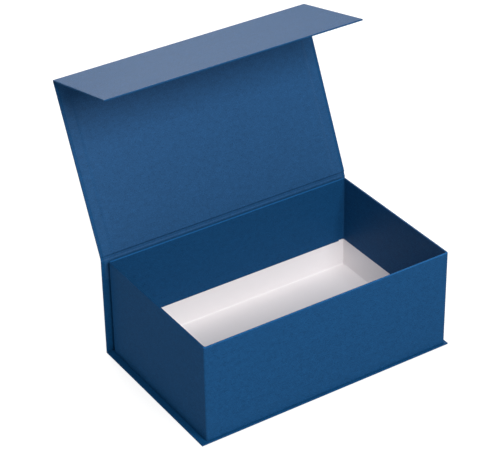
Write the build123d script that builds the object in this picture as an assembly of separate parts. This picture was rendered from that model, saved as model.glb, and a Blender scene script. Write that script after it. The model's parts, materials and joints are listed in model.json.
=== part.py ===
"""Book-style rigid board box with a magnet flap, one STEP file per physical piece.

Millimetres, +Z up, +X along the box, the front towards -Y. The origin is the centre of the base's
underside. The lid stands open and leans back, and the flap is folded forward from its far edge.

Every panel of the case is a board wrapped in paper. A panel is drawn in its own frame: X along the
box, U from the crease it starts at, and W inwards from the paper's outer face.
"""

from build123d import *
import math
import os

# Driving dimensions
PAPER = 0.15  # covering and lining paper
BOARD = 1.5  # greyboard
TURN_IN = 15.0  # width of the covering paper folded over a board's edge
LINER_INSET = 4.0  # inner lining stops this far short of a free edge

CASE_LENGTH = 341.0
CASE_DEPTH = 212.0

TRAY_LENGTH = 330.0
TRAY_DEPTH = 204.0
TRAY_HEIGHT = 126.2
TRAY_SHIFT_X = 2.0  # the tray is glued a little to the right of the case's middle
TRAY_FRONT_SETBACK = 2.6  # room for the closed flap in front of the tray
TRAY_PAPER_DEPTH = 88.0  # how far the blue paper goes down the inside walls
TRAY_CORNER = 2.0  # radius of the upright corners, outside
GLUE_HEIGHT = 0.3  # tray's underside above the base's turned-in paper
PASTE = 0.1  # between the tray board and its covering paper

LID_CLEARANCE = 0.1  # closed lid above the tray's rim
LID_HINGE_GAP = 3.0  # bare paper between the lid's crease and the lid board
FLAP_HINGE_GAP = 3.5  # bare paper between the flap's two creases
FLAP_LENGTH = 122.0

LID_ANGLE = 114.3  # lid from closed
OVERFOLD = 11.2  # the paper strip between lid and flap, folded inwards from the lid's plane
FLAP_ANGLE = 90.0  # flap from the strip

MAGNET_DIAMETER = 10.0
MAGNET_SPACING = 200.0
MAGNET_DROP = 102.0  # from the closed lid's top face down to the magnets
TAPE_SIDE = 18.0
TAPE = 0.1
CORNER_TAPE_WIDTH = 20.0  # on each side of a corner

BEAD_WIDTH = 8.0
BASE_BEADS = 5
BASE_BEAD_LENGTH = 160.0
SPINE_PADS = 4
SPINE_PAD_HEIGHT = 70.0
SPINE_PAD_BOTTOM = 20.0

# Derived dimensions
BOARD_TOP = PAPER + BOARD  # board's inner face in a panel's frame
PANEL = BOARD_TOP + 2 * PAPER  # a full panel: wrap, board, turn-in and liner
STRIP = 3 * PAPER  # a hinge gap: wrap, turn-in and liner
HALF = CASE_LENGTH / 2
CREASE_CLEARANCE = 0.1  # thin paper on each side of a crease
STUB_CLEARANCE = STRIP + 0.05  # spine paper stops this far below the lid's crease
FLAP_START = STRIP + 0.05  # flap's pieces begin this far from its crease
BOARD_END = 0.35  # lid board stops this far short of the fold strip

TRAY_BOTTOM = BOARD_TOP + PAPER + GLUE_HEIGHT
RIM = TRAY_BOTTOM + TRAY_HEIGHT
TRAY_LEFT = TRAY_SHIFT_X - TRAY_LENGTH / 2
TRAY_RIGHT = TRAY_SHIFT_X + TRAY_LENGTH / 2
TRAY_FRONT = -CASE_DEPTH / 2 + TRAY_FRONT_SETBACK
TRAY_BACK = TRAY_FRONT + TRAY_DEPTH
WALL_INSET = PAPER + PASTE  # tray's outer face to its board

LID_CREASE_Z = RIM + LID_CLEARANCE + PANEL
SPINE_BOARD_TOP = RIM - 0.4
SPINE_BOARD_BOTTOM = PANEL + 0.45
BASE_BOARD_BACK = CASE_DEPTH / 2 - PANEL - 0.25
SPINE_LINER_BOTTOM = SPINE_BOARD_TOP - 25.0
FOLD_CREASE = CASE_DEPTH - FLAP_HINGE_GAP  # lid's crease to the fold strip's crease


# Frames and solids
def panel_frame(start, angle):
    """Frame of a panel that starts at (y, z) and stands at angle degrees from lying closed."""
    a = math.radians(angle)
    inward = (0, -math.sin(a), -math.cos(a))
    return Plane(origin=(0, *start), x_dir=(1, 0, 0), z_dir=inward).location


def along(start, angle, distance):
    """Point (y, z) at a distance from start along a panel standing at angle."""
    a = math.radians(angle)
    return start[0] - distance * math.cos(a), start[1] + distance * math.sin(a)


def block(x, y, z):
    """Box between the two values of each pair."""
    size = [high - low for low, high in (x, y, z)]
    middle = [(low + high) / 2 for low, high in (x, y, z)]
    return Pos(*middle) * Box(*size)


def fuse(solids):
    """One solid from pieces that touch face to face."""
    first, *rest = solids
    for solid in rest:
        first = first + solid
    return first.clean()


def disc(x, u, w, thickness, diameter=MAGNET_DIAMETER):
    """Disc on a panel, from depth w inwards."""
    return Pos(x, u, w + thickness / 2) * Cylinder(diameter / 2, thickness)


def layer(steps, x, depth, thickness):
    """Sheet that follows a panel's inner side, over gaps and boards.

    steps is a list of (start, end, level) along U. depth is how much paper lies under the sheet, and
    a riser joins two levels in front of the board's edge.
    """
    runs = []
    for start, end, level in steps:
        runs.append(block(x, (start, end), (level + depth, level + depth + thickness)))
    for (_, edge, low), (_, _, high) in zip(steps, steps[1:]):
        rise = (min(low, high) + depth, max(low, high) + depth + thickness)
        if high > low:
            runs.append(block(x, (edge - depth - thickness, edge - depth), rise))
            continue
        runs.append(block(x, (edge + depth, edge + depth + thickness), rise))
    return runs


def shifted(steps, amount):
    """Levels of a sheet that lies on another one: boards reach further by its thickness."""
    moved = []
    for index, (start, end, level) in enumerate(steps):
        if index and steps[index - 1][2] != level:
            start += amount if steps[index - 1][2] > level else -amount
        if index + 1 < len(steps) and steps[index + 1][2] != level:
            end += amount if steps[index + 1][2] < level else -amount
        moved.append((start, end, level))
    return moved


def wrap(steps, free_edges=()):
    """Covering paper of a panel: outer sheet, both ends turned in, and any free edge turned in."""
    start, end = steps[0][0], steps[-1][1]
    pieces = [block((-HALF, HALF), (start, end), (0, PAPER))]
    for side in (-1, 1):
        outer, inner = sorted((side * HALF, side * (HALF - PAPER)))
        for low, high, level in steps:
            pieces.append(block((outer, inner), (low, high), (PAPER, level + PAPER)))
        turned = sorted((side * HALF, side * (HALF - TURN_IN)))
        pieces.extend(layer(steps, turned, 0, PAPER))
    for edge, direction in free_edges:
        across = sorted((edge, edge + direction * PAPER))
        folded = sorted((edge, edge + direction * TURN_IN))
        pieces.append(block((-HALF, HALF), across, (PAPER, BOARD_TOP + PAPER)))
        pieces.append(block((-HALF, HALF), folded, (BOARD_TOP, BOARD_TOP + PAPER)))
    return fuse(pieces)


def liner(steps, stops_short_of=()):
    """Inner lining of a panel. Where there is no turn-in under it, it reaches down to the board."""
    steps = list(steps)
    fill_end = steps[-1][1]
    if stops_short_of:
        start, _, level = steps[-1]
        steps[-1] = (start, stops_short_of[0] - LINER_INSET, level)
        fill_end = stops_short_of[0] - TURN_IN
    middle = [*steps[:-1], (steps[-1][0], fill_end, steps[-1][2])]
    width = HALF - LINER_INSET
    inner = HALF - TURN_IN
    pieces = layer(shifted(steps, PAPER), (-width, width), PAPER, PAPER)
    pieces += layer(middle, (-inner, inner), 0, PAPER)
    return fuse(pieces)


def board(start, end):
    """Greyboard of a panel, inside the turned-in ends."""
    return block((PAPER - HALF, HALF - PAPER), (start, end), (PAPER, BOARD_TOP))


def magnet_places():
    return [TRAY_SHIFT_X + side * MAGNET_SPACING / 2 for side in (-1, 1)]


# Case: the base lies flat, so its U is Y
def base():
    front = -CASE_DEPTH / 2
    back = CASE_DEPTH / 2 - PAPER
    steps = [(front, BASE_BOARD_BACK, BOARD_TOP), (BASE_BOARD_BACK, back, PAPER)]
    core = block(
        (PAPER - HALF, HALF - PAPER), (front + PAPER, BASE_BOARD_BACK), (PAPER, BOARD_TOP)
    )
    return {"base_board": core, "base_wrap": wrap(steps, [(front, 1)])}


def spine():
    """Spine, standing at 90 degrees from the base's back edge. U is Z."""
    top = LID_CREASE_Z - STUB_CLEARANCE
    place = panel_frame((CASE_DEPTH / 2, 0), 90)
    steps = [
        (2 * PAPER, SPINE_BOARD_BOTTOM, PAPER),
        (SPINE_BOARD_BOTTOM, SPINE_BOARD_TOP, BOARD_TOP),
        (SPINE_BOARD_TOP, top, PAPER),
    ]
    lined = [(SPINE_LINER_BOTTOM, SPINE_BOARD_TOP, BOARD_TOP), steps[2]]
    foot = block((-HALF, HALF), (0, 2 * PAPER), (0, PAPER))
    return {
        "spine_board": place * board(SPINE_BOARD_BOTTOM, SPINE_BOARD_TOP),
        "spine_wrap": place * fuse([wrap(steps), foot]),
        "spine_liner": place * liner(lined),
    }


def lid():
    place = panel_frame((CASE_DEPTH / 2, LID_CREASE_Z), LID_ANGLE)
    board_end = FOLD_CREASE - BOARD_END
    steps = [
        (CREASE_CLEARANCE, LID_HINGE_GAP, PAPER),
        (LID_HINGE_GAP, board_end, BOARD_TOP),
    ]
    return {
        "lid_board": place * board(LID_HINGE_GAP, board_end),
        "lid_wrap": place * wrap(steps),
        "lid_liner": place * liner(steps),
    }


def flap_fold():
    """Paper strip between the lid's far crease and the flap's crease."""
    start = along((CASE_DEPTH / 2, LID_CREASE_Z), LID_ANGLE, FOLD_CREASE)
    place = panel_frame(start, LID_ANGLE - OVERFOLD)
    steps = [(CREASE_CLEARANCE, FLAP_HINGE_GAP - CREASE_CLEARANCE, PAPER)]
    return {"flap_fold_wrap": place * wrap(steps), "flap_fold_liner": place * liner(steps)}


def flap_crease():
    fold = along((CASE_DEPTH / 2, LID_CREASE_Z), LID_ANGLE, FOLD_CREASE)
    return along(fold, LID_ANGLE - OVERFOLD, FLAP_HINGE_GAP)


def flap():
    place = panel_frame(flap_crease(), LID_ANGLE - OVERFOLD - FLAP_ANGLE)
    steps = [(FLAP_START, FLAP_LENGTH, BOARD_TOP)]
    core = board(FLAP_START, FLAP_LENGTH - PAPER)
    magnets = [disc(x, MAGNET_DROP, PAPER, BOARD) for x in magnet_places()]
    tapes = []
    for x in magnet_places():
        sides = (x - TAPE_SIDE / 2, x + TAPE_SIDE / 2)
        spans = (MAGNET_DROP - TAPE_SIDE / 2, min(MAGNET_DROP + TAPE_SIDE / 2, FLAP_LENGTH - TURN_IN))
        tapes.append(block(sides, spans, (BOARD_TOP, BOARD_TOP + TAPE)))
    lining = liner(steps, stops_short_of=[FLAP_LENGTH])
    for magnet in magnets:
        core = core - magnet
    for tape in tapes:
        lining = lining - tape
    return {
        "flap_board": place * core,
        "flap_wrap": place * wrap(steps, [(FLAP_LENGTH, -1)]),
        "flap_liner": place * lining,
        "flap_magnets": [place * magnet for magnet in magnets],
        "flap_magnet_tapes": [place * tape for tape in tapes],
    }


# Tray
def tray_box(inset, bottom, top):
    """Block of the tray's plan, drawn in by inset on all four sides, with concentric upright corners."""
    plan = block(
        (TRAY_LEFT + inset, TRAY_RIGHT - inset),
        (TRAY_FRONT + inset, TRAY_BACK - inset),
        (bottom, top),
    )
    if inset >= TRAY_CORNER:
        return plan
    return fillet(plan.edges().filter_by(Axis.Z), TRAY_CORNER - inset)


def tray_magnet_seats():
    """Discs through the front wall's board, level with the closed flap's magnets."""
    height = LID_CREASE_Z - MAGNET_DROP
    middle = TRAY_FRONT + WALL_INSET + BOARD / 2
    place = Rot(90, 0, 0)
    return [Pos(x, middle, height) * place * Cylinder(MAGNET_DIAMETER / 2, BOARD)
            for x in magnet_places()]


def tray_corner_tapes():
    """Stay tape round each upright corner of the tray board."""
    outside = WALL_INSET - TAPE
    low, high = TRAY_BOTTOM + WALL_INSET, RIM - WALL_INSET
    ring = tray_box(outside, low, high) - tray_box(WALL_INSET, low, high)
    tapes = []
    for x in (TRAY_LEFT, TRAY_RIGHT):
        for y in (TRAY_FRONT, TRAY_BACK):
            reach = CORNER_TAPE_WIDTH
            tapes.append(ring & block((x - reach, x + reach), (y - reach, y + reach), (low, high)))
    return tapes


def tray():
    floor = TRAY_BOTTOM + WALL_INSET + BOARD
    board_top = RIM - WALL_INSET
    core = tray_box(WALL_INSET, TRAY_BOTTOM + WALL_INSET, board_top)
    core = core - tray_box(WALL_INSET + BOARD, floor, board_top)
    magnets = tray_magnet_seats()
    for magnet in magnets:
        core = core - magnet

    lining = tray_box(WALL_INSET + BOARD, floor, board_top)
    lining = lining - tray_box(WALL_INSET + BOARD + PAPER, floor + PAPER, board_top)

    inside = WALL_INSET + BOARD + PAPER
    skin = tray_box(0, TRAY_BOTTOM, RIM) - tray_box(PAPER, TRAY_BOTTOM + PAPER, RIM)
    skin = skin - tray_box(TURN_IN, TRAY_BOTTOM, TRAY_BOTTOM + PAPER)
    rim = tray_box(0, RIM - PAPER, RIM) - tray_box(inside + PAPER, RIM - PAPER, RIM)
    turned = tray_box(inside, RIM - TRAY_PAPER_DEPTH, RIM)
    turned = turned - tray_box(inside + PAPER, RIM - TRAY_PAPER_DEPTH, RIM)

    tapes = []
    for x in magnet_places():
        height = LID_CREASE_Z - MAGNET_DROP
        tapes.append(
            block(
                (x - TAPE_SIDE / 2, x + TAPE_SIDE / 2),
                (TRAY_FRONT + WALL_INSET - TAPE, TRAY_FRONT + WALL_INSET),
                (height - TAPE_SIDE / 2, height + TAPE_SIDE / 2),
            )
        )
    return {
        "tray_board": core,
        "tray_lining": lining,
        "tray_corner_tapes": tray_corner_tapes(),
        "tray_wrap": fuse([skin, rim, turned]),
        "tray_magnets": magnets,
        "tray_magnet_tapes": tapes,
    }


# Joining
def base_glue():
    """Beads that run from front to back between the base board and the tray board."""
    reach = BASE_BEAD_LENGTH / 2
    middle = (TRAY_FRONT + TRAY_BACK) / 2
    height = (BOARD_TOP, TRAY_BOTTOM + WALL_INSET)
    beads = []
    for index in range(BASE_BEADS):
        x = TRAY_SHIFT_X + TRAY_LENGTH * ((index + 0.5) / BASE_BEADS - 0.5)
        across = (x - BEAD_WIDTH / 2, x + BEAD_WIDTH / 2)
        beads.append(block(across, (middle - reach, middle + reach), height))
    return beads


def spine_pads():
    """Upright strips of mounting tape between the tray's back wall and the spine board."""
    depth = (TRAY_BACK, CASE_DEPTH / 2 - BOARD_TOP)
    height = (SPINE_PAD_BOTTOM, SPINE_PAD_BOTTOM + SPINE_PAD_HEIGHT)
    pads = []
    for index in range(SPINE_PADS):
        x = TRAY_SHIFT_X + TRAY_LENGTH * ((index + 0.5) / SPINE_PADS - 0.5)
        pads.append(block((x - BEAD_WIDTH, x + BEAD_WIDTH), depth, height))
    return pads


def main():
    os.makedirs("parts", exist_ok=True)
    nodes = {**base(), **spine(), **lid(), **flap_fold(), **flap(), **tray()}
    nodes["base_glue"] = base_glue()
    nodes["spine_pads"] = spine_pads()
    for name, shape in nodes.items():
        solids = shape if isinstance(shape, list) else [shape]
        group = Compound(children=[solid for piece in solids for solid in piece.solids()])
        export_step(group if len(solids) > 1 else solids[0], f"parts/{name}.step")
    fold = along((CASE_DEPTH / 2, LID_CREASE_Z), LID_ANGLE, FOLD_CREASE)
    print("lid crease (y, z)", CASE_DEPTH / 2, LID_CREASE_Z)
    print("fold crease (y, z)", fold)
    print("flap crease (y, z)", flap_crease())


main()
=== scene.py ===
"""Looks of a book-style rigid box: papers wrapped round boards, folded over creases and lined.

Metres, +Z up, +X along the box, the front towards -Y. The case's covering paper is one long sheet in
life. Its outer face is a line in the YZ plane, from the base's front edge under the base, up the
spine, up the open lid and forward along the flap, and the papers are built from stations along it.
"""

import json
import math

import bmesh
import bpy
from mathutils import Matrix, Vector


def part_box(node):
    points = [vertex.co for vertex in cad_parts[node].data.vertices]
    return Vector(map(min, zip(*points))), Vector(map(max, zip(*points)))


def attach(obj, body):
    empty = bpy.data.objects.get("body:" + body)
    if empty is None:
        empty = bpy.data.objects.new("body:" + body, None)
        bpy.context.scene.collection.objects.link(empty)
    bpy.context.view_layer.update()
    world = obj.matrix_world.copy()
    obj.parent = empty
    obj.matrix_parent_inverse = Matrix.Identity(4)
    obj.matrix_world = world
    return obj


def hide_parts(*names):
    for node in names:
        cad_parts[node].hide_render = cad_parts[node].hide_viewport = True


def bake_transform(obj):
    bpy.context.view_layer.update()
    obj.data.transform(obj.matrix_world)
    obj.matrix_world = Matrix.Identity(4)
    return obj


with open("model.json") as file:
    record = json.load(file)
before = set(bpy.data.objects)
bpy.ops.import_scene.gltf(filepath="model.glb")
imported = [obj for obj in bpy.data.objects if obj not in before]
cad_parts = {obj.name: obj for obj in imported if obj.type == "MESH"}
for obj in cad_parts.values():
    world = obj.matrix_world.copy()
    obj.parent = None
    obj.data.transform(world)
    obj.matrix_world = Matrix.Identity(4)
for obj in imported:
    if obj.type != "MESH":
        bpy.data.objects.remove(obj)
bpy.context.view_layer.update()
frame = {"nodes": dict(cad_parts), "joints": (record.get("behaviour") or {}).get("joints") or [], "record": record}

MM = 0.001

# The frame: creases as (y, z), and the outer sizes of the case and the tray
JOINTS = {joint["name"]: joint["pos_m"][1:] for joint in frame["joints"]}
LID_CREASE = Vector(JOINTS["lid_hinge"])
FOLD_CREASE = Vector(JOINTS["flap_fold_crease"])
FLAP_CREASE = Vector(JOINTS["flap_hinge"])
CASE_LOW, CASE_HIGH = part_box("base_wrap")
HALF = CASE_HIGH.x
TRAY_LOW, TRAY_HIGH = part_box("tray_wrap")
SPINE_BOARD_LOW, SPINE_BOARD_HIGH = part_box("spine_board")
BASE_BOARD_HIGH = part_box("base_board")[1]
SPINE_LINER_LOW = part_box("spine_liner")[0]

# Papers and boards
PAPER = 0.15 * MM
BOARD = 1.5 * MM
TURN_IN = 15 * MM
LINER_INSET = 4 * MM
LID_HINGE_GAP = 3.0 * MM
LID_BOARD_END = 0.35 * MM
FLAP_BOARD_START = 0.5 * MM
FLAP_LENGTH = 122 * MM
TRAY_PAPER_DEPTH = 88 * MM
PASTE = 0.1 * MM

# How the papers bend
EDGE_RADIUS = 0.45 * MM  # round a board's edge
CORNER_RADIUS = 0.5 * MM  # a case board's corner in plan
RAMP = 0.6 * MM  # a lining's way down from a board into a hinge gap
HINGE_RAMP = 1.7 * MM  # the same at the lid's hinge, where the lining is rubbed down gently
BASE_BEND = 1.6 * MM  # reach of each crease's bend, to each side
LID_BEND = 1.0 * MM
FOLD_BEND = 0.8 * MM
FLAP_BEND = 0.6 * MM
FLAP_BEND_START = 1.4 * MM  # before the flap's crease, where the outer paper is first sampled
GAP_DENT = 0.12 * MM  # outer paper pressed into a hinge gap
MITRE_LIFT = 0.1 * MM  # a front turn-in lies over the end turn-ins
LINING_STEP = 0.4 * MM  # width of a lining's step beside the edge of a turn-in
LINING_CLEAR = 4 * MM  # from that step to the lining's plain columns

# How densely the papers are sampled
BESIDE = 0.1 * MM  # a row this close to a bend or a step keeps it crisp
APART = 1 * MM  # a flat stretch starts this far from a bend or a step
FREE_EDGE = 20 * MM  # rows this close to a free edge belong to its turn-in
PLACE_DIGITS = 7  # places along the sheet that agree in metres to this many digits are one
ARC_STEPS = 6
FACE_COLUMNS = 23
LINING_COLUMNS = 19

# Meshes
SHARP_ANGLE = math.radians(38)
MERGE_DISTANCE = 1e-6
DEGENERATE_LENGTH = 1e-7


def smooth(t):
    """0 below 0, 1 above 1, and a smooth rise between."""
    t = min(max(t, 0.0), 1.0)
    return t * t * (3 - 2 * t)


def spread(start, end, count):
    """Evenly spaced values, both ends included."""
    return [start + (end - start) * i / (count - 1) for i in range(count)]


def heading_vector(angle):
    """Unit vector at an angle."""
    return Vector((math.cos(angle), math.sin(angle)))


def inward(direction):
    """From a direction along the sheet to its inner side."""
    return Vector((-direction.y, direction.x))


class Station:
    """A place along the sheet: a point on the outer face and one on the turned-in paper inside."""

    def __init__(self, along, outer, inner):
        self.along = along
        self.outer = outer
        self.thickness = (inner - outer).length
        self.across = (inner - outer) / self.thickness

    def place(self, x, depth):
        """Point at x along the box, at a depth inwards from the outer face."""
        point = self.outer + self.across * depth
        return Vector((x, point.x, point.y))


class CaseLine:
    """The covering paper's outer face in the YZ plane: straight runs with a bend at each crease."""

    def __init__(self, corners, bends):
        self.corners = corners
        self.bends = [0.0, *bends, 0.0]
        runs = [b - a for a, b in zip(corners, corners[1:])]
        self.headings = [math.atan2(run.y, run.x) for run in runs]
        self.starts = [0.0]
        for run in runs:
            self.starts.append(self.starts[-1] + run.length)

    def at(self, along):
        """Point and heading at a distance along the sheet."""
        for k in range(1, len(self.corners) - 1):
            reach = self.bends[k]
            if abs(along - self.starts[k]) < reach:
                return self._on_bend(k, (along - self.starts[k] + reach) / (2 * reach))
        k = max(i for i in range(len(self.headings)) if i == 0 or along >= self.starts[i])
        direction = heading_vector(self.headings[k])
        return self.corners[k] + direction * (along - self.starts[k]), self.headings[k]

    def _on_bend(self, k, share):
        """Point and heading on the arc at corner k, at a share of its turn."""
        turn = self.headings[k] - self.headings[k - 1]
        direction = heading_vector(self.headings[k - 1])
        radius = self.bends[k] / math.tan(abs(turn) / 2)
        angle = abs(turn) * share
        begin = self.corners[k] - direction * self.bends[k]
        sideways = math.copysign(radius * (1 - math.cos(angle)), turn)
        point = begin + direction * radius * math.sin(angle) + inward(direction) * sideways
        return point, self.headings[k - 1] + turn * share


FLAP_DIRECTION = inward((FLAP_CREASE - FOLD_CREASE).normalized())
LINE = CaseLine(
    [
        Vector((CASE_LOW.y, 0)),
        Vector((LID_CREASE.x, 0)),
        LID_CREASE,
        FOLD_CREASE,
        FLAP_CREASE,
        FLAP_CREASE + FLAP_DIRECTION * FLAP_LENGTH,
    ],
    [BASE_BEND, LID_BEND, FOLD_BEND, FLAP_BEND],
)
BASE_END, SPINE_END, LID_END, STRIP_END, FLAP_END = LINE.starts[1:]
SPINE_TOP = BASE_END + SPINE_BOARD_HIGH.z
LID_START = SPINE_END + LID_HINGE_GAP

# Where one piece of paper ends and the next begins, flat on a board or a strip
SPINE_SEAM = SPINE_TOP - 8 * MM
LID_SEAM = LID_END - FOLD_BEND
FOLD_SEAM = STRIP_END - 2.3 * MM

# The stretches of the sheet that lie over a board, and how gently the lining leaves each of them
BOARD_RUNS = [
    (PAPER, BASE_BOARD_HIGH.y - CASE_LOW.y),
    (BASE_END + SPINE_BOARD_LOW.z, SPINE_TOP),
    (LID_START, LID_END - LID_BOARD_END),
    (STRIP_END + FLAP_BOARD_START, FLAP_END - PAPER),
]
RAMPS = [(RAMP, RAMP), (RAMP, HINGE_RAMP), (HINGE_RAMP, RAMP), (RAMP, RAMP)]
HINGE_GAPS = [(before[1], after[0]) for before, after in zip(BOARD_RUNS, BOARD_RUNS[1:])]


def over_board(along):
    """1 over a board, 0 in a hinge gap, and a ramp in the gap beside each board's edge."""
    return max(
        smooth((along - start) / rise + 1) * smooth((end - along) / fall + 1)
        for (start, end), (rise, fall) in zip(BOARD_RUNS, RAMPS)
    )


def dent(along):
    """How far the outer paper is pressed in."""
    for start, end in HINGE_GAPS:
        if start < along < end:
            return GAP_DENT * math.sin(math.pi * (along - start) / (end - start)) ** 2
    return 0.0


def station(along):
    """Station square to the sheet."""
    point, heading = LINE.at(along)
    inside = inward(heading_vector(heading))
    thickness = 2 * PAPER + BOARD * over_board(along)
    return Station(along, point + inside * dent(along), point + inside * thickness)


def stations(*runs):
    """Stations over runs of (start, end, count)."""
    places = sorted({round(value, PLACE_DIGITS) for run in runs for value in spread(*run)})
    return [station(along) for along in places]


def fold_stations():
    """Stations round the flap's crease, where the inner papers take the short way over the corner."""
    strip = (FLAP_CREASE - FOLD_CREASE).normalized()
    inner_corner = FLAP_CREASE - strip * (2 * PAPER + BOARD) + FLAP_DIRECTION * 2 * PAPER
    ease = PAPER
    made = [station(FOLD_SEAM)]
    made.append(station(STRIP_END - 2 * PAPER - BOARD - ease))
    outer_places = spread(STRIP_END - FLAP_BEND_START, STRIP_END + FLAP_BEND, 9)
    for index, along in enumerate(outer_places):
        turn = math.pi / 2 * index / (len(outer_places) - 1)
        inner = inner_corner + strip * ease * (math.sin(turn) - 1)
        inner = inner + FLAP_DIRECTION * ease * (1 - math.cos(turn)) * 2
        made.append(Station(along, LINE.at(along)[0], inner))
    return made


# Mesh helpers
def shade(data):
    """Smooth shading, with crisp edges where faces meet sharply."""
    data.polygons.foreach_set("use_smooth", [True] * len(data.polygons))
    data.set_sharp_from_angle(angle=SHARP_ANGLE)


def mesh_piece(name, faces, material):
    """Object from faces given as lists of (point, uv), merged where points coincide."""
    mesh = bmesh.new()
    uv_layer = mesh.loops.layers.uv.new("paper")
    for corners in faces:
        vertices = [mesh.verts.new(point) for point, _ in corners]
        face = mesh.faces.new(vertices)
        for loop, (_, uv) in zip(face.loops, corners):
            loop[uv_layer].uv = uv
    bmesh.ops.remove_doubles(mesh, verts=mesh.verts, dist=MERGE_DISTANCE)
    bmesh.ops.dissolve_degenerate(mesh, edges=mesh.edges, dist=DEGENERATE_LENGTH)
    data = bpy.data.meshes.new(name)
    mesh.to_mesh(data)
    mesh.free()
    data.materials.append(material)
    piece = bpy.data.objects.new(name, data)
    bpy.context.scene.collection.objects.link(piece)
    shade(data)
    return piece


def thicken(piece):
    """Turns an open sheet into closed paper, away from its visible side."""
    solidify = piece.modifiers.new("paper", "SOLIDIFY")
    solidify.thickness = PAPER
    solidify.offset = -1
    graph = bpy.context.evaluated_depsgraph_get()
    data = bpy.data.meshes.new_from_object(piece.evaluated_get(graph))
    piece.modifiers.clear()
    piece.data = data
    shade(data)


def paper_piece(name, faces, material):
    """Closed piece of paper whose visible side is the given faces."""
    piece = mesh_piece(name, faces, material)
    thicken(piece)
    return piece


def grid_faces(rows, flip=False):
    """Quads between neighbouring rows of (point, uv).

    They face away from row direction x next row's direction, or towards it when flipped.
    """
    faces = []
    for above, below in zip(rows, rows[1:]):
        for i in range(len(above) - 1):
            quad = [above[i], below[i], below[i + 1], above[i + 1]]
            faces.append(quad[::-1] if flip else quad)
    return faces


# Covering paper of the case: insets from an edge, over the turn-in and on the outer face
BORDER = [15 * MM, 12 * MM, 9 * MM, 6 * MM, 3 * MM, 1.5 * MM, 0.8 * MM, CORNER_RADIUS]
MARGIN = [CORNER_RADIUS, 0.8 * MM, 1.5 * MM, 3 * MM]
OUTER_MARGIN = MARGIN[-1]


def edge_profile(thickness, lift):
    """(inset, depth, way round the edge), from the turn-in's free edge to the outer face's margin."""
    radius = min(EDGE_RADIUS, thickness / 2)
    raised = [lift * smooth((inset - CORNER_RADIUS) / OUTER_MARGIN) for inset in BORDER]
    points = [(inset, thickness + extra) for inset, extra in zip(BORDER, raised)]
    for angle in spread(0, math.pi / 2, ARC_STEPS):
        inset = radius * (1 - math.sin(angle))
        points.append((inset, thickness - radius * (1 - math.cos(angle))))
    for angle in spread(0, math.pi / 2, ARC_STEPS):
        points.append((radius * (1 - math.cos(angle)), radius * (1 - math.sin(angle))))
    points += [(inset, 0.0) for inset in MARGIN]
    way = 0.0
    profile = []
    for index, (inset, depth) in enumerate(points):
        if index:
            last = points[index - 1]
            way += math.dist((inset, depth), last)
        profile.append((inset, depth, way))
    return profile


def leg_row(side, place, to_edge=None):
    """Row of a cover round one end of the case, at a station. to_edge is the way to a free edge."""
    row = []
    limit = to_edge if to_edge is not None else TURN_IN
    profile = edge_profile(place.thickness, 0.0)
    whole_way = profile[-1][2]
    for inset, depth, way in profile:
        inset = min(inset, limit)
        uv = (side * (HALF - OUTER_MARGIN + whole_way - way), place.along)
        row.append((place.place(side * (HALF - inset), depth), uv))
    return row


def face_row(place, columns):
    """Row of a cover's outer face at a station."""
    return [(place.place(x, 0.0), (x, place.along)) for x in columns]


def face_columns():
    """Places along the box for the rows of the outer face."""
    return spread(OUTER_MARGIN - HALF, HALF - OUTER_MARGIN, FACE_COLUMNS)


def corner_gaps():
    """Distances from a corner that both sides of its mitre share."""
    return sorted(set(BORDER + MARGIN))


def cover_faces(run, free_end=None):
    """Covering paper along a run of stations, with both ends turned in.

    free_end is the distance along the sheet of a free edge just past the run's last station, which
    gets a turn-in of its own with mitred corners.
    """
    flip = free_end is not None and free_end < run[-1].along
    faces = []
    legs = {side: [leg_row(side, place) for place in run] for side in (-1, 1)}
    if free_end is not None:
        toward = -1 if flip else 1
        near = corner_gaps()[::-1]
        for gap in near:
            place = station(free_end - toward * gap)
            for side in (-1, 1):
                legs[side].append(leg_row(side, place, gap))
        run = [*run, *[station(free_end - toward * gap) for gap in near if gap >= OUTER_MARGIN]]
        faces += edge_faces(free_end, toward, flip)
    for side in (-1, 1):
        faces += grid_faces(legs[side], flip=flip != (side == 1))
    faces += grid_faces([face_row(place, face_columns()) for place in run], flip=flip)
    return faces


def edge_faces(free_end, toward, flip):
    """Turn-in of a free edge, its two corners and the outer face's margin along it.

    toward is 1 where the sheet ends at that edge, and -1 where it begins there.
    """
    gaps = corner_gaps()
    left = [gap - HALF for gap in gaps]
    middle = [x for x in face_columns() if abs(x) < HALF - gaps[-1]]
    thickness = station(free_end - toward * OUTER_MARGIN).thickness
    profile = edge_profile(thickness, MITRE_LIFT)
    whole_way = profile[-1][2]
    rows = []
    for x in [*left, *middle, *[-x for x in reversed(left)]]:
        row = []
        for inset, depth, way in profile:
            inset = min(inset, HALF - abs(x))
            along = free_end - toward * inset
            uv = (x, free_end - toward * (OUTER_MARGIN - whole_way + way))
            row.append((station(along).place(x, depth), uv))
        rows.append(row)
    faces = grid_faces(rows, flip=flip)
    for side in (-1, 1):
        rows = []
        for angle in spread(0, math.pi / 2, ARC_STEPS):
            row = []
            for inset, depth, way in edge_profile(thickness, 0.0):
                reach = max(CORNER_RADIUS - inset, 0.0)
                middle_inset = max(CORNER_RADIUS, inset)
                x = side * (HALF - middle_inset + reach * math.cos(angle))
                along = free_end - toward * (middle_inset - reach * math.sin(angle))
                uv = (x, along + toward * way)
                row.append((station(along).place(x, depth), uv))
            rows.append(row)
        faces += grid_faces(rows, flip=flip != (side == 1))
    return faces


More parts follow.
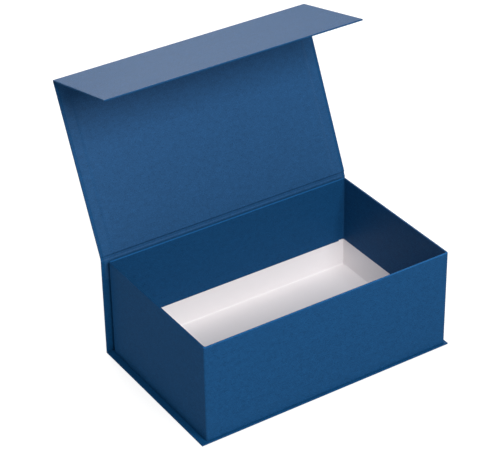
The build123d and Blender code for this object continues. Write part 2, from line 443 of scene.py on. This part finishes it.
# Lining papers of the case
def lining_faces(run, free_end=None):
    """Lining along a run of stations, standing a little prouder where turned-in paper is under it."""
    width = HALF - LINER_INSET
    turned = HALF - TURN_IN
    step = LINING_STEP
    side = [width, width - step, turned + 2 * step, turned + step, turned, turned - step]
    flat = turned - step - LINING_CLEAR
    inner = spread(-flat, flat, LINING_COLUMNS)
    columns = [*[-x for x in side], *inner, *reversed(side)]
    rows = []
    for place in run:
        row = []
        for x in columns:
            under = smooth((abs(x) - turned) / step + 0.5)
            if free_end is not None:
                under = max(under, smooth((place.along - free_end + TURN_IN) / step + 0.5))
            point = place.place(x, place.thickness + PAPER * under)
            row.append((point, (x, place.along)))
        rows.append(row)
    return grid_faces(rows, flip=True)


# Runs of stations for the case's pieces, as (start, end, count) along the sheet
HINGE_PLACES = [
    (SPINE_SEAM, SPINE_TOP - APART, 4),
    (SPINE_TOP - BESIDE, SPINE_END - LID_BEND, 11),
    (SPINE_END - LID_BEND, SPINE_END + LID_BEND, 11),
    (SPINE_END + LID_BEND, LID_START - HINGE_RAMP, 4),
    (LID_START - HINGE_RAMP, LID_START + BESIDE, 11),
]
LID_PLACES = (LID_START + APART, LID_SEAM, 20)
FLAP_NEAR_PLACES = (STRIP_END + APART, STRIP_END + 4 * MM, 4)
FLAP_PANEL_START = STRIP_END + 8 * MM


def base_and_spine_run():
    """From the seam on the spine down to the base's front edge."""
    board_end = BASE_BOARD_HIGH.y - CASE_LOW.y
    spine_start = BASE_END + SPINE_BOARD_LOW.z
    run = stations(
        (FREE_EDGE, board_end - APART, 14),
        (board_end - BESIDE, board_end + RAMP, 8),
        (BASE_END - BASE_BEND, BASE_END + BASE_BEND, 11),
        (spine_start - RAMP, spine_start + BESIDE, 8),
        (spine_start + APART, SPINE_SEAM, 10),
    )
    return run[::-1]


def strip_run():
    """Over the narrow strip between lid and flap."""
    curved_end = LID_SEAM + 2.4 * MM
    return stations((LID_SEAM, curved_end, 16), (curved_end, FOLD_SEAM, 3))


def flap_cover_run():
    """From the seam on the strip over the flap's crease, up to the free edge's own rows."""
    return fold_stations() + stations(FLAP_NEAR_PLACES, (FLAP_PANEL_START, FLAP_END - FREE_EDGE, 12))


def lid_lining_run():
    """As the lid's cover, but from lower on the spine, where the lining ends behind the tray."""
    hidden = (BASE_END + SPINE_LINER_LOW.z, SPINE_SEAM - APART, 4)
    return stations(hidden, *HINGE_PLACES, LID_PLACES)


def flap_lining_run():
    """As the flap's cover, with a step where the turned-in paper under it begins."""
    turn_in = FLAP_END - TURN_IN
    return fold_stations() + stations(
        FLAP_NEAR_PLACES,
        (FLAP_PANEL_START, turn_in - APART, 12),
        (turn_in - 0.5 * MM, turn_in + 0.5 * MM, 5),
        (turn_in + 2 * MM, FLAP_END - LINER_INSET, 3),
    )


# Tray
TRAY_CORNER = 2.0 * MM
RIM_RADIUS = 0.45 * MM
INNER_CORNER = 2.2 * MM  # where the blue paper bridges an inside corner
LINING_CORNER = 0.5 * MM
TRAY_INSIDE = 3 * PAPER + PASTE + BOARD  # outer face to the turned-in paper's inner face
TAB = 7 * MM  # bare width of the end paper's tab beside an inside corner
TAB_END = 15 * MM
TAB_SHORT = 1.2 * MM  # the tab stops this far above the lower edge of the blue paper
TAB_STEP = 0.03 * MM  # width of the step at the tab's bare edge
NEAR_CORNER = (0.8 * MM, 3 * MM)  # samples between an inside corner and that step
FLOOR_FOLD = 1.6 * MM  # radius where the floor folds up into the walls
FLOOR_ROWS = (6 * MM, 20 * MM, 60 * MM, 99 * MM)  # from the walls; a narrow strip is left between
CORNER_STEPS = 6
WALL_SPAN = 30 * MM  # plain wall samples keep this far from the corners
WALL_SAMPLES = 6


def tray_outline(stops):
    """Samples round the tray: corners as angles, walls as stops from each corner.

    Each sample is a function of (inset, corner radius) and says how far it is from the nearest
    corner if it is on a long wall.
    """
    samples = []
    corners = [
        (TRAY_HIGH.x, TRAY_LOW.y, 1, -1, -90),
        (TRAY_HIGH.x, TRAY_HIGH.y, 1, 1, 0),
        (TRAY_LOW.x, TRAY_HIGH.y, -1, 1, 90),
        (TRAY_LOW.x, TRAY_LOW.y, -1, -1, 180),
    ]

    def corner_sample(x, y, right, back, angle):
        def at(inset, radius):
            middle = Vector((x - right * (inset + radius), y - back * (inset + radius)))
            return middle + heading_vector(angle) * radius

        return at

    def wall_sample(fixed, start, end, way, along_x, sign):
        def at(inset, radius):
            level = fixed - sign * inset
            corner = inset + radius
            kept = min(max(way, corner), abs(end - start) - corner)
            moving = start + math.copysign(kept, end - start)
            return Vector((moving, level)) if along_x else Vector((level, moving))

        return at

    for index, (x, y, right, back, begin) in enumerate(corners):
        for angle in spread(math.radians(begin), math.radians(begin + 90), CORNER_STEPS):
            samples.append((corner_sample(x, y, right, back, angle), None))
        next_x, next_y = corners[(index + 1) % 4][:2]
        along_x = index % 2 == 1
        start, end = (x, next_x) if along_x else (y, next_y)
        length = abs(end - start)
        plain = spread(WALL_SPAN, length - WALL_SPAN, WALL_SAMPLES)
        ways = sorted({*stops, *[length - stop for stop in stops], *plain})
        fixed, sign = (y, back) if along_x else (x, right)
        for way in ways:
            near = min(way, length - way) - TRAY_INSIDE if along_x else None
            samples.append((wall_sample(fixed, start, end, way, along_x, sign), near))
    samples.append(samples[0])
    return samples


def tray_cover_rows():
    """Rows down the tray's paper: inside wall, rim, outside wall, and under the tray's edge."""
    low_inside = TRAY_HIGH.z - TRAY_PAPER_DEPTH
    rim, foot = TRAY_HIGH.z, TRAY_LOW.z
    quarter = spread(0, math.pi / 2, ARC_STEPS)
    profile = [(TRAY_INSIDE, z) for z in spread(low_inside, rim - RIM_RADIUS - BESIDE, 8)]
    for angle in quarter:
        inset = TRAY_INSIDE - RIM_RADIUS * (1 - math.cos(angle))
        profile.append((inset, rim - RIM_RADIUS * (1 - math.sin(angle))))
    for angle in quarter:
        inset = RIM_RADIUS * (1 - math.sin(angle))
        profile.append((inset, rim - RIM_RADIUS * (1 - math.cos(angle))))
    walls = spread(rim - RIM_RADIUS - BESIDE, foot + EDGE_RADIUS + BESIDE, 10)
    profile += [(0.0, z) for z in walls]
    for angle in quarter:
        inset = EDGE_RADIUS * (1 - math.cos(angle))
        profile.append((inset, foot + EDGE_RADIUS * (1 - math.sin(angle))))
    profile += [(EDGE_RADIUS + BESIDE, foot), (6 * MM, foot), (TURN_IN, foot)]
    return profile


def tray_cover_faces():
    """Blue paper of the tray, bridging the inside corners and lying over the end papers' tabs."""
    tab_stops = (*NEAR_CORNER, TAB - TAB_STEP, TAB, TAB_END, TAB_END + APART)
    samples = tray_outline([stop + TRAY_INSIDE for stop in tab_stops])
    profile = tray_cover_rows()
    rows = []
    way = 0.0
    low_inside = profile[0][1]
    for index, (inset, z) in enumerate(profile):
        if index:
            way += math.dist(profile[index], profile[index - 1])
        row = []
        length = 0.0
        last = None
        for at, near in samples:
            radius = max(TRAY_CORNER - inset, INNER_CORNER)
            drawn, height = inset, z
            inside = inset == TRAY_INSIDE
            if inside and near is not None:
                over_tab = 1.0 if near >= TAB - TAB_STEP / 2 else 0.0
                drawn += PAPER * over_tab * (1 - smooth((near - TAB_END) / APART))
            on_tab = near is None or near < TAB - TAB_STEP / 2
            if z == low_inside and inside and on_tab:
                height += TAB_SHORT
            point = at(drawn, radius)
            if last is not None:
                length += (at(0.0, TRAY_CORNER) - last).length
            last = at(0.0, TRAY_CORNER)
            row.append((Vector((point.x, point.y, height)), (length, way)))
        rows.append(row)
    return grid_faces(rows)


def tray_lining_faces():
    """White lining: the walls behind the blue turn-in, the folds and the floor."""
    inset = TRAY_INSIDE - PAPER
    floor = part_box("tray_lining")[0].z + PAPER
    top = TRAY_HIGH.z - 2 * PAPER - PASTE
    samples = tray_outline([inset + 6 * MM, inset + 15 * MM])
    profile = [(inset, z) for z in spread(top, floor + FLOOR_FOLD + BESIDE, 8)]
    for angle in spread(0, math.pi / 2, 9):
        drawn = inset + FLOOR_FOLD * (1 - math.cos(angle))
        profile.append((drawn, floor + FLOOR_FOLD * (1 - math.sin(angle))))
    profile += [(inset + way, floor) for way in (FLOOR_FOLD + BESIDE, *FLOOR_ROWS)]
    rows = []
    for drawn, z in profile:
        points = [at(drawn, LINING_CORNER) for at, _ in samples]
        rows.append([(Vector((p.x, p.y, z)), (p.x, p.y + z)) for p in points])
    faces = grid_faces(rows, flip=True)
    last_row = rows[-1][:-1]
    return [*faces, last_row]


# Blue papers. Noises are given per millimetre, shades as the most each adds to or takes from 1
COVER_BLUE = (0.0050, 0.0550, 0.152)
TRAY_BLUE = (0.0070, 0.0545, 0.148)
LINING_BLUE = (0.0130, 0.0650, 0.166)
SATIN = 0.10  # specular level of the case's papers
MATT = 0.04  # specular level of the tray's paper
CLOUDS = 0.035
CLOUD_SHADE = 0.05
MOTTLE = 0.17
MOTTLE_SHADE = 0.30
FIBRE_ACROSS = 3.2
FIBRE_ALONG = 0.55
FIBRE_SHADE = 0.5
FIBRE_RANGE = (0.1, 0.4)  # most of the product of the two fibre noises lies in it
STREAKS = (0.07, 0.5, 1)
STREAK_SHADE = 0.12
BETWEEN_FIBRES = 0.52  # roughness
ON_FIBRES = 0.40
WEAVE = 0.52
WEAVE_HEIGHT = 0.35  # beside the fibres' height of 1
CLOUD_HEIGHT = 6.0
BLUE_RELIEF = 0.035 * MM
RIM_HIGHLIGHT = 0.8  # painted highlight: how much paler the tray's paper is drawn on the rim
RIM_HIGHLIGHT_DEPTH = 1.6 * RIM_RADIUS
RIM_HIGHLIGHT_FADE = 0.1 * MM

# White lining
WHITE = (0.80, 0.768, 0.776)
WHITE_CLOUDS = 0.03
WHITE_CLOUD_SHADE = 0.015
WHITE_FIBRES = 1.4
WHITE_FIBRE_SHADE = 0.02
BETWEEN_WHITE_FIBRES = 0.62  # roughness
ON_WHITE_FIBRES = 0.5
WHITE_CLOUD_HEIGHT = 10.0
WHITE_RELIEF = 0.02 * MM

# Hidden materials
GRAIN_RELIEF = 0.03 * MM
GRAIN_ROUGHNESS = 0.08  # how much the grain adds to or takes from the roughness


def new_material(name):
    """Material with its node tree and its shader."""
    material = bpy.data.materials.new(name)
    material.use_nodes = True
    tree = material.node_tree
    shader = tree.nodes["Principled BSDF"]
    return material, tree, shader


def add(tree, kind, **settings):
    """Node with some of its sockets or properties set."""
    node = tree.nodes.new(kind)
    for key, value in settings.items():
        if key in node.inputs:
            node.inputs[key].default_value = value
        else:
            setattr(node, key, value)
    return node


def coordinates(tree, source):
    """Texture coordinates of a kind, in metres."""
    return add(tree, "ShaderNodeTexCoord").outputs[source]


def mapped(tree, source, scale=(1, 1, 1)):
    """Texture coordinates in millimetres, stretched by scale."""
    mapping = add(tree, "ShaderNodeMapping")
    mapping.inputs["Scale"].default_value = [value / MM for value in scale]
    tree.links.new(coordinates(tree, source), mapping.inputs["Vector"])
    return mapping.outputs["Vector"]


def noise_value(tree, vector, scale, detail, roughness=0.55):
    """Noise between 0 and 1, mostly near the middle."""
    node = add(tree, "ShaderNodeTexNoise", Scale=scale, Detail=detail, Roughness=roughness)
    tree.links.new(vector, node.inputs["Vector"])
    return node.outputs["Fac"]


def combine(tree, operation, a, b):
    """Sum, product or other operation on two values or sockets."""
    node = add(tree, "ShaderNodeMath", operation=operation)
    for socket, value in zip(node.inputs, (a, b)):
        if isinstance(value, (int, float)):
            socket.default_value = value
        else:
            tree.links.new(value, socket)
    return node.outputs[0]


def total(tree, first, *rest):
    """Sum of values or sockets."""
    for value in rest:
        first = combine(tree, "ADD", first, value)
    return first


def ranged(tree, value, low, high, source=(0.0, 1.0)):
    """A value moved from the source range to low..high."""
    node = add(tree, "ShaderNodeMapRange")
    node.inputs["From Min"].default_value, node.inputs["From Max"].default_value = source
    node.inputs["To Min"].default_value, node.inputs["To Max"].default_value = low, high
    tree.links.new(value, node.inputs["Value"])
    return node.outputs["Result"]


def tint(tree, colour, value):
    """A colour made darker or lighter by a value around 1."""
    node = add(tree, "ShaderNodeVectorMath", operation="SCALE")
    node.inputs[0].default_value = colour
    tree.links.new(value, node.inputs["Scale"])
    return node.outputs["Vector"]


def bump(tree, shader, height, distance):
    """Relief that stands a distance proud where its height is 1."""
    node = add(tree, "ShaderNodeBump", Strength=1.0, Distance=distance)
    tree.links.new(height, node.inputs["Height"])
    tree.links.new(node.outputs["Normal"], shader.inputs["Normal"])


def painted_rim_highlight(tree):
    """Painted highlight: how much paler the paper is drawn on the rims of the tray's two long walls, for the light
    their rounded edges catch.
    """
    place = add(tree, "ShaderNodeSeparateXYZ")
    tree.links.new(coordinates(tree, "Object"), place.inputs["Vector"])
    start = TRAY_HIGH.z - RIM_HIGHLIGHT_DEPTH
    high = ranged(tree, place.outputs["Z"], 0.0, RIM_HIGHLIGHT, (start, start + RIM_HIGHLIGHT_FADE))
    middle = (TRAY_LOW.y + TRAY_HIGH.y) / 2
    reach = TRAY_HIGH.y - TRAY_INSIDE - middle
    from_middle = combine(tree, "ABSOLUTE", combine(tree, "SUBTRACT", place.outputs["Y"], middle), 0)
    outer = ranged(tree, from_middle, 0.0, 1.0, (reach - 2 * RIM_HIGHLIGHT_FADE, reach))
    return combine(tree, "MULTIPLY", high, outer)


def linen(tree, sheet):
    """Two crossed waves: a fine linen emboss."""
    weave = []
    for direction in ("X", "Y"):
        wave = add(tree, "ShaderNodeTexWave", bands_direction=direction, Scale=WEAVE, Distortion=0.6)
        wave.inputs["Detail Scale"].default_value = 2.0
        tree.links.new(sheet, wave.inputs["Vector"])
        weave.append(wave.outputs["Fac"])
    return combine(tree, "MULTIPLY", *weave)


def blue_paper(name, colour, gloss, painted_rim=False):
    """Dyed paper: short fibres, a fine linen emboss, a mottled tone and a faint cloudiness, and when asked a
    painted highlight on the tray's long rims.
    """
    material, tree, shader = new_material(name)
    sheet = mapped(tree, "UV")
    clouds = noise_value(tree, sheet, CLOUDS, detail=2.0)
    mottle = noise_value(tree, sheet, MOTTLE, detail=5.0, roughness=0.7)
    lengthways = mapped(tree, "UV", (FIBRE_ACROSS, FIBRE_ALONG, 1))
    crossways = mapped(tree, "UV", (FIBRE_ALONG, FIBRE_ACROSS, 1))
    two_ways = [noise_value(tree, vector, 1.0, detail=3.0) for vector in (lengthways, crossways)]
    fibres = combine(tree, "MULTIPLY", *two_ways)
    streaks = noise_value(tree, mapped(tree, "UV", STREAKS), 1.0, detail=3.0)
    shades = [
        ranged(tree, clouds, -CLOUD_SHADE, CLOUD_SHADE),
        1.0,
        ranged(tree, mottle, -MOTTLE_SHADE, MOTTLE_SHADE),
        ranged(tree, fibres, -FIBRE_SHADE, FIBRE_SHADE, FIBRE_RANGE),
        ranged(tree, streaks, -STREAK_SHADE, STREAK_SHADE),
    ]
    # painted highlight along the rims of the tray's long walls, standing in for light on their rounded edges
    if painted_rim:
        shades.append(painted_rim_highlight(tree))
    tree.links.new(tint(tree, colour, total(tree, *shades)), shader.inputs["Base Color"])
    roughness = ranged(tree, fibres, BETWEEN_FIBRES, ON_FIBRES, FIBRE_RANGE)
    tree.links.new(roughness, shader.inputs["Roughness"])
    shader.inputs["Specular IOR Level"].default_value = gloss
    emboss = combine(tree, "MULTIPLY", linen(tree, sheet), WEAVE_HEIGHT)
    height = total(tree, emboss, fibres, combine(tree, "MULTIPLY", clouds, CLOUD_HEIGHT))
    bump(tree, shader, height, BLUE_RELIEF)
    return material


def white_lining():
    """Uncoated white paper, a little cloudy."""
    material, tree, shader = new_material("white_lining")
    solid = mapped(tree, "Object")
    clouds = noise_value(tree, solid, WHITE_CLOUDS, detail=2.0)
    fibres = noise_value(tree, solid, WHITE_FIBRES, detail=5.0)
    shades = [
        ranged(tree, clouds, -WHITE_CLOUD_SHADE, WHITE_CLOUD_SHADE),
        1.0,
        ranged(tree, fibres, -WHITE_FIBRE_SHADE, WHITE_FIBRE_SHADE),
    ]
    tree.links.new(tint(tree, WHITE, total(tree, *shades)), shader.inputs["Base Color"])
    roughness = ranged(tree, fibres, BETWEEN_WHITE_FIBRES, ON_WHITE_FIBRES)
    tree.links.new(roughness, shader.inputs["Roughness"])
    height = total(tree, fibres, combine(tree, "MULTIPLY", clouds, WHITE_CLOUD_HEIGHT))
    bump(tree, shader, height, WHITE_RELIEF)
    return material


def grainy(name, colour, variation, roughness, scale, metallic=0.0):
    """Plain material with a grain of its own: board, tape, glue, foam or plated steel."""
    material, tree, shader = new_material(name)
    solid = mapped(tree, "Object")
    grain = noise_value(tree, solid, scale, detail=6.0, roughness=0.65)
    value = ranged(tree, grain, 1 - variation, 1 + variation)
    tree.links.new(tint(tree, colour, value), shader.inputs["Base Color"])
    grain_roughness = ranged(tree, grain, roughness - GRAIN_ROUGHNESS, roughness + GRAIN_ROUGHNESS)
    tree.links.new(grain_roughness, shader.inputs["Roughness"])
    shader.inputs["Metallic"].default_value = metallic
    bump(tree, shader, grain, GRAIN_RELIEF)
    return material


def make_materials():
    """Materials by the record's slots, and the tray's own blue paper."""
    return {
        "covering_paper": blue_paper("covering_paper", COVER_BLUE, SATIN),
        # the tray's paper gets a painted highlight on the rims of its long walls
        "tray_paper": blue_paper("tray_paper", TRAY_BLUE, MATT, painted_rim=True),
        "inner_paper": blue_paper("inner_paper", LINING_BLUE, SATIN),
        "white_lining": white_lining(),
        "greyboard": grainy("greyboard", (0.27, 0.25, 0.22), variation=0.18, roughness=0.85, scale=0.9),
        "tape": grainy("kraft_tape", (0.50, 0.36, 0.20), variation=0.12, roughness=0.75, scale=1.2),
        "magnet": grainy(
            "plated_steel", (0.60, 0.60, 0.61), variation=0.04, roughness=0.28, scale=0.4, metallic=1.0
        ),
        "glue": grainy("hot_melt", (0.72, 0.62, 0.40), variation=0.06, roughness=0.35, scale=0.3),
        "foam_tape": grainy("foam_tape", (0.74, 0.73, 0.70), variation=0.05, roughness=0.8, scale=2.0),
    }


# The object
def dress_nodes(materials):
    """Gives every node of the frame the material of its slot."""
    for part in frame["record"]["subparts"]:
        node = frame["nodes"][part["node"]]
        node.data.materials.clear()
        node.data.materials.append(materials[part["material_slot"]])


def blend_over(piece):
    """Bakes a piece's transform into its mesh."""
    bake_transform(piece)


def build_case(materials):
    """Covering paper and lining of the case, in pieces for the case, the lid, the strip and the flap; only the
    case's cover is attached to its body.
    """
    blue, lining_blue = materials["covering_paper"], materials["inner_paper"]
    case_cover = paper_piece("case_cover", cover_faces(base_and_spine_run(), 0.0), blue)
    lid_cover = paper_piece("lid_cover", cover_faces(stations(*HINGE_PLACES, LID_PLACES)), blue)
    fold_cover = paper_piece("fold_cover", cover_faces(strip_run()), blue)
    flap_cover = paper_piece("flap_cover", cover_faces(flap_cover_run(), FLAP_END), blue)
    lid_lining = paper_piece("lid_lining", lining_faces(lid_lining_run()), lining_blue)
    fold_lining = paper_piece("fold_lining", lining_faces(strip_run()), lining_blue)
    flap_lining = paper_piece("flap_lining", lining_faces(flap_lining_run(), FLAP_END), lining_blue)

    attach(case_cover, "case")
    lid_direction = heading_vector(LINE.headings[2])
    strip_direction = heading_vector(LINE.headings[3])
    for piece in (lid_cover, lid_lining):
        blend_over(piece)
    for piece in (fold_cover, fold_lining):
        blend_over(piece)
    for piece in (flap_cover, flap_lining):
        blend_over(piece)

    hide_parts("base_wrap", "spine_wrap")
    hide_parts("lid_wrap")
    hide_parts("flap_fold_wrap")
    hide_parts("flap_wrap")
    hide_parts("spine_liner", "lid_liner")
    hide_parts("flap_fold_liner")
    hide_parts("flap_liner")


def build_tray(materials):
    """The tray's blue paper, and the white lining of its board."""
    tray_cover = paper_piece("tray_cover", tray_cover_faces(), materials["tray_paper"])
    lining = paper_piece("tray_white_lining", tray_lining_faces(), materials["white_lining"])
    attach(tray_cover, "case")
    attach(lining, "case")
    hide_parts("tray_wrap")
    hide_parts("tray_lining")


# Studio
CAMERA_AZIMUTH = math.radians(-32.77)
CAMERA_ELEVATION = math.radians(32.25)
CAMERA_ROLL = math.radians(-0.94)
CAMERA_DISTANCE = 2.2848
CAMERA_OFFSET = (-0.02981, 0.14550)  # to the right and up, as the camera sees it
FOCAL_LENGTH_MM = 139.95
SENSOR_WIDTH_MM = 36
CLIP_NEAR = 0.05
CLIP_FAR = 50

FLOOR_REACH = 12
FLOOR_LEVEL = -0.2 * MM
FLOOR_GREY = 0.25
FLOOR_GLOW = 0.82
WORLD_STRENGTH = 0.13
LIGHT_TARGET = Vector((0, 0.02, 0.15))
SOFTBOX_DISTANCE = 2.2
SOFTBOX_SIZE = 1.1
SOFTBOXES = [  # name, azimuth, elevation and power
    ("front", 0, 42, 53),
    ("back", 165, 40, 42),
    ("low_back", 152, 18, 6),
    ("left", -90, 30, 7),
]


def away_from_box(azimuth, elevation):
    """Unit vector from the box outwards. The azimuth is 0 in front and grows towards +X."""
    flat = math.cos(elevation)
    return Vector((math.sin(azimuth) * flat, -math.cos(azimuth) * flat, math.sin(elevation)))


def add_camera():
    """Long lens from the front left, looking down at the open box."""
    back = away_from_box(CAMERA_AZIMUTH, CAMERA_ELEVATION)
    right = (-back).cross(Vector((0, 0, 1))).normalized()
    up = right.cross(-back)
    location = back * CAMERA_DISTANCE + right * CAMERA_OFFSET[0] + up * CAMERA_OFFSET[1]
    turned_right = right * math.cos(CAMERA_ROLL) + up * math.sin(CAMERA_ROLL)
    turned_up = up * math.cos(CAMERA_ROLL) - right * math.sin(CAMERA_ROLL)
    data = bpy.data.cameras.new("camera")
    data.lens = FOCAL_LENGTH_MM
    data.sensor_width = SENSOR_WIDTH_MM
    data.clip_start = CLIP_NEAR
    data.clip_end = CLIP_FAR
    camera = bpy.data.objects.new("camera", data)
    bpy.context.scene.collection.objects.link(camera)
    axes = Matrix((turned_right, turned_up, back)).transposed()
    camera.matrix_world = Matrix.Translation(location) @ axes.to_4x4()
    bpy.context.scene.camera = camera


def softbox(name, azimuth, elevation, power):
    """Square soft light aimed at the box, with its angles in degrees."""
    data = bpy.data.lights.new(name, "AREA")
    data.shape = "SQUARE"
    data.size = SOFTBOX_SIZE
    data.energy = power
    away = away_from_box(math.radians(azimuth), math.radians(elevation))
    light = bpy.data.objects.new(name, data)
    light.location = LIGHT_TARGET + away * SOFTBOX_DISTANCE
    light.rotation_euler = (-away).to_track_quat("-Z", "Y").to_euler()
    light.visible_camera = False
    bpy.context.scene.collection.objects.link(light)


def add_world():
    """Even white light from all sides."""
    world = bpy.data.worlds.new("studio")
    world.use_nodes = True
    background = world.node_tree.nodes["Background"]
    background.inputs["Color"].default_value = (1, 1, 1, 1)
    background.inputs["Strength"].default_value = WORLD_STRENGTH
    bpy.context.scene.world = world


def add_floor():
    """Wide pale floor with a glow of its own, so that it stays near white beside the box."""
    mesh = bpy.data.meshes.new("floor")
    low, high = -FLOOR_REACH, FLOOR_REACH
    corners = [(low, low), (high, low), (high, high), (low, high)]
    mesh.from_pydata([(x, y, FLOOR_LEVEL) for x, y in corners], [], [(0, 1, 2, 3)])
    floor = bpy.data.objects.new("floor", mesh)
    bpy.context.scene.collection.objects.link(floor)
    floor.visible_glossy = False
    material, _, shader = new_material("floor")
    shader.inputs["Base Color"].default_value = (FLOOR_GREY, FLOOR_GREY, FLOOR_GREY, 1)
    shader.inputs["Roughness"].default_value = 0.9
    shader.inputs["Specular IOR Level"].default_value = 0.0
    shader.inputs["Emission Color"].default_value = (1, 1, 1, 1)
    shader.inputs["Emission Strength"].default_value = FLOOR_GLOW
    mesh.materials.append(material)


def add_studio():
    """Plain white studio with four soft lights."""
    bpy.context.scene.view_settings.view_transform = "Standard"
    add_world()
    add_floor()
    for name, azimuth, elevation, power in SOFTBOXES:
        softbox(name, azimuth, elevation, power)


materials = make_materials()
dress_nodes(materials)
build_case(materials)
build_tray(materials)
add_camera()
add_studio()
